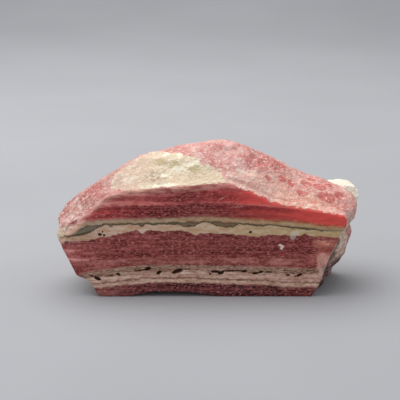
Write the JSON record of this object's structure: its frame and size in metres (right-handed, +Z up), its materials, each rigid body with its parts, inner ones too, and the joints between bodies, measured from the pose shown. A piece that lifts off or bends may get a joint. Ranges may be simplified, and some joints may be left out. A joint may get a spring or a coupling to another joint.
{
  "type": "rhodochrosite slice",
  "caption": "Thick sawn slice of banded rose and cream mineral with one flat cut face, broken lumpy sides, and a level foot to stand on.",
  "frame": {"origin": "middle of the bounding box's bottom, on the surface that the stone stands on", "axes": "+X along the bands from the narrow left tip to the right shoulder, +Y back from the sawn face, +Z up across the bands"},
  "size_m": [0.1046, 0.04, 0.0505],
  "materials": {
    "rhodochrosite": "matt to satin, banded rose, crimson, tan and cream, sawn on the front and broken elsewhere"
  },
  "bodies": {
    "root": {"rhodochrosite_slice": "rhodochrosite"}
  },
  "joints": []
}
